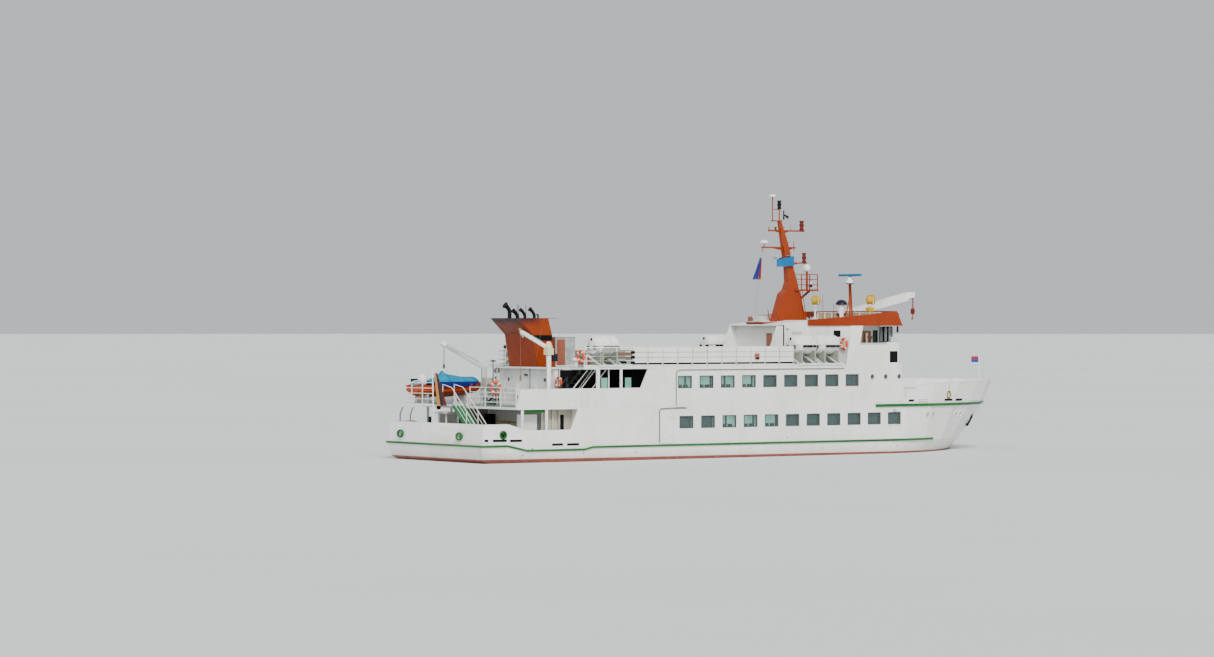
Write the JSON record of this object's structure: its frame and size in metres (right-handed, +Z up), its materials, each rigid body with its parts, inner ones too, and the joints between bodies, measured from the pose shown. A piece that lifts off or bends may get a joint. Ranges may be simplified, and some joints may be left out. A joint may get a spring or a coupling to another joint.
{
  "type": "small passenger ferry, afloat",
  "caption": "Small coastal passenger ferry afloat: open stern with boat landing, two saloon decks, full-width bridge, mast, funnel, davits and foredeck crane.",
  "frame": {"origin": "on the centreline at the waterline, amidships", "axes": "+X towards the bow, +Y to port, +Z up"},
  "size_m": [39.1678, 9.9808, 16.59],
  "materials": {
    "hull_paint": "semi-gloss white ship's paint",
    "white_paint": "semi-gloss white ship's paint",
    "deck_paint": "matt green deck paint",
    "green_paint": "semi-matt green paint",
    "orange_paint": "copper-orange gloss paint",
    "black_paint": "heat-worn black paint",
    "grey_paint": "matt light grey paint",
    "blue_paint": "gloss blue paint",
    "yellow_paint": "gloss yellow paint",
    "bottom_paint": "matt red-brown bottom paint",
    "bronze": "cast bronze",
    "raft_shell": "white moulded shell",
    "boat_shell": "orange moulded shell",
    "cover_cloth": "light blue coated cloth",
    "varnished_wood": "varnished brown wood"
  },
  "bodies": {
    "ship": {"hull": "hull_paint", "lower_saloon": "hull_paint", "forecastle": "hull_paint", "upper_deck": "deck_paint", "upper_saloon": "white_paint", "stern_bulwark": "hull_paint", "side_screen_starboard": "white_paint", "side_screen_port": "white_paint", "bow_bulwark": "white_paint", "rubbing_strake": "green_paint", "bow_strake": "green_paint", "boat_deck": "deck_paint", "aft_house": "white_paint", "funnel": "orange_paint", "exhaust_pipes": "black_paint", "stern_rail": "white_paint", "stern_landing": "white_paint", "boat_deck_rail_starboard": "white_paint", "boat_deck_rail_port": "white_paint", "life_raft_1_starboard": "raft_shell", "life_raft_1_port": "raft_shell", "life_raft_2_starboard": "raft_shell", "life_raft_2_port": "raft_shell", "life_raft_3_starboard": "raft_shell", "life_raft_3_port": "raft_shell", "wheelhouse": "white_paint", "console": "grey_paint", "bridge_wing_starboard": "white_paint", "bridge_wing_port": "white_paint", "deckhouse": "white_paint", "bridge_roof": "grey_paint", "fascia": "orange_paint", "mast": "orange_paint", "mast_platform": "orange_paint", "radar_post": "orange_paint", "searchlight_starboard": "yellow_paint", "searchlight_port": "yellow_paint", "compass": "black_paint", "davit_pedestal": "grey_paint", "rescue_boat": "boat_shell", "boat_cover": "cover_cloth", "boat_chocks": "grey_paint", "deck_stair_starboard": "white_paint", "deck_stair_port": "white_paint", "stern_stair": "green_paint", "windlass": "green_paint"},
    "crane_post": {"crane_post": "white_paint"},
    "crane_jib": {"crane_jib": "white_paint"},
    "crane_hook": {"crane_hook": "orange_paint"},
    "davit_arm": {"davit_arm": "white_paint"},
    "side_davit": {"side_davit": "white_paint"},
    "radar_scanner": {"radar_scanner": "blue_paint"},
    "propeller_starboard": {"propeller_starboard": "bronze"},
    "propeller_port": {"propeller_port": "bronze"},
    "rudder_starboard": {"rudder_starboard": "bottom_paint"},
    "rudder_port": {"rudder_port": "bottom_paint"},
    "shell_door_starboard": {"shell_door_starboard": "white_paint"},
    "shell_door_port": {"shell_door_port": "white_paint"},
    "bridge_door_starboard": {"bridge_door_starboard": "varnished_wood"},
    "bridge_door_port": {"bridge_door_port": "varnished_wood"}
  },
  "joints": [
    {"name": "crane_slew", "type": "hinge", "parent": "ship", "child": "crane_post", "pos_m": [11.2, 3.4, 4.4], "axis": [0, 0, 1], "range_deg": [-20, 130]},
    {"name": "crane_luff", "type": "hinge", "parent": "crane_post", "child": "crane_jib", "pos_m": [11.2, 3.4, 7.95], "axis": [-0.7608, -0.6489, 0], "range_deg": [-24, 46]},
    {"name": "crane_hook_swing", "type": "hinge", "parent": "crane_jib", "child": "crane_hook", "pos_m": [14.1, 0, 8.9846], "axis": [-0.7608, -0.6489, 0], "range_deg": [-46, 24]},
    {"name": "davit_slew", "type": "hinge", "parent": "ship", "child": "davit_arm", "pos_m": [-15, 2, 4.2], "axis": [0, 0, 1], "range_deg": [-80, 40]},
    {"name": "side_davit_slew", "type": "hinge", "parent": "ship", "child": "side_davit", "pos_m": [-14.8, -4.2, 2.95], "axis": [0, 0, 1], "range_deg": [-40, 120]},
    {"name": "radar_spin", "type": "hinge", "parent": "ship", "child": "radar_scanner", "pos_m": [8.85, -0.58, 10.24], "axis": [0, 0, 1], "continuous": true},
    {"name": "propeller_starboard_spin", "type": "hinge", "parent": "ship", "child": "propeller_starboard", "pos_m": [-17.17, -2.1, -1.06], "axis": [1, 0, 0], "continuous": true},
    {"name": "propeller_port_spin", "type": "hinge", "parent": "ship", "child": "propeller_port", "pos_m": [-17.17, 2.1, -1.06], "axis": [1, 0, 0], "continuous": true},
    {"name": "rudder_starboard_turn", "type": "hinge", "parent": "ship", "child": "rudder_starboard", "pos_m": [-18.35, -2.1, -0.6], "axis": [0, 0, 1], "range_deg": [-35, 35]},
    {"name": "rudder_port_turn", "type": "hinge", "parent": "ship", "child": "rudder_port", "pos_m": [-18.35, 2.1, -0.6], "axis": [0, 0, 1], "range_deg": [-35, 35]},
    {"name": "shell_door_starboard_swing", "type": "hinge", "parent": "ship", "child": "shell_door_starboard", "pos_m": [-6.96, -4.932, 1.7], "axis": [0, 0, 1], "range_deg": [0, 110]},
    {"name": "shell_door_port_swing", "type": "hinge", "parent": "ship", "child": "shell_door_port", "pos_m": [-6.96, 4.932, 1.7], "axis": [0, 0, 1], "range_deg": [-110, 0]},
    {"name": "bridge_door_starboard_swing", "type": "hinge", "parent": "ship", "child": "bridge_door_starboard", "pos_m": [8.14, -3.532, 6.1], "axis": [0, 0, 1], "range_deg": [0, 95]},
    {"name": "bridge_door_port_swing", "type": "hinge", "parent": "ship", "child": "bridge_door_port", "pos_m": [8.14, 3.532, 6.1], "axis": [0, 0, 1], "range_deg": [-95, 0]}
  ],
  "couplings": [
    {"joint": "crane_hook_swing", "follows": "crane_luff", "ratio": -1}
  ]
}
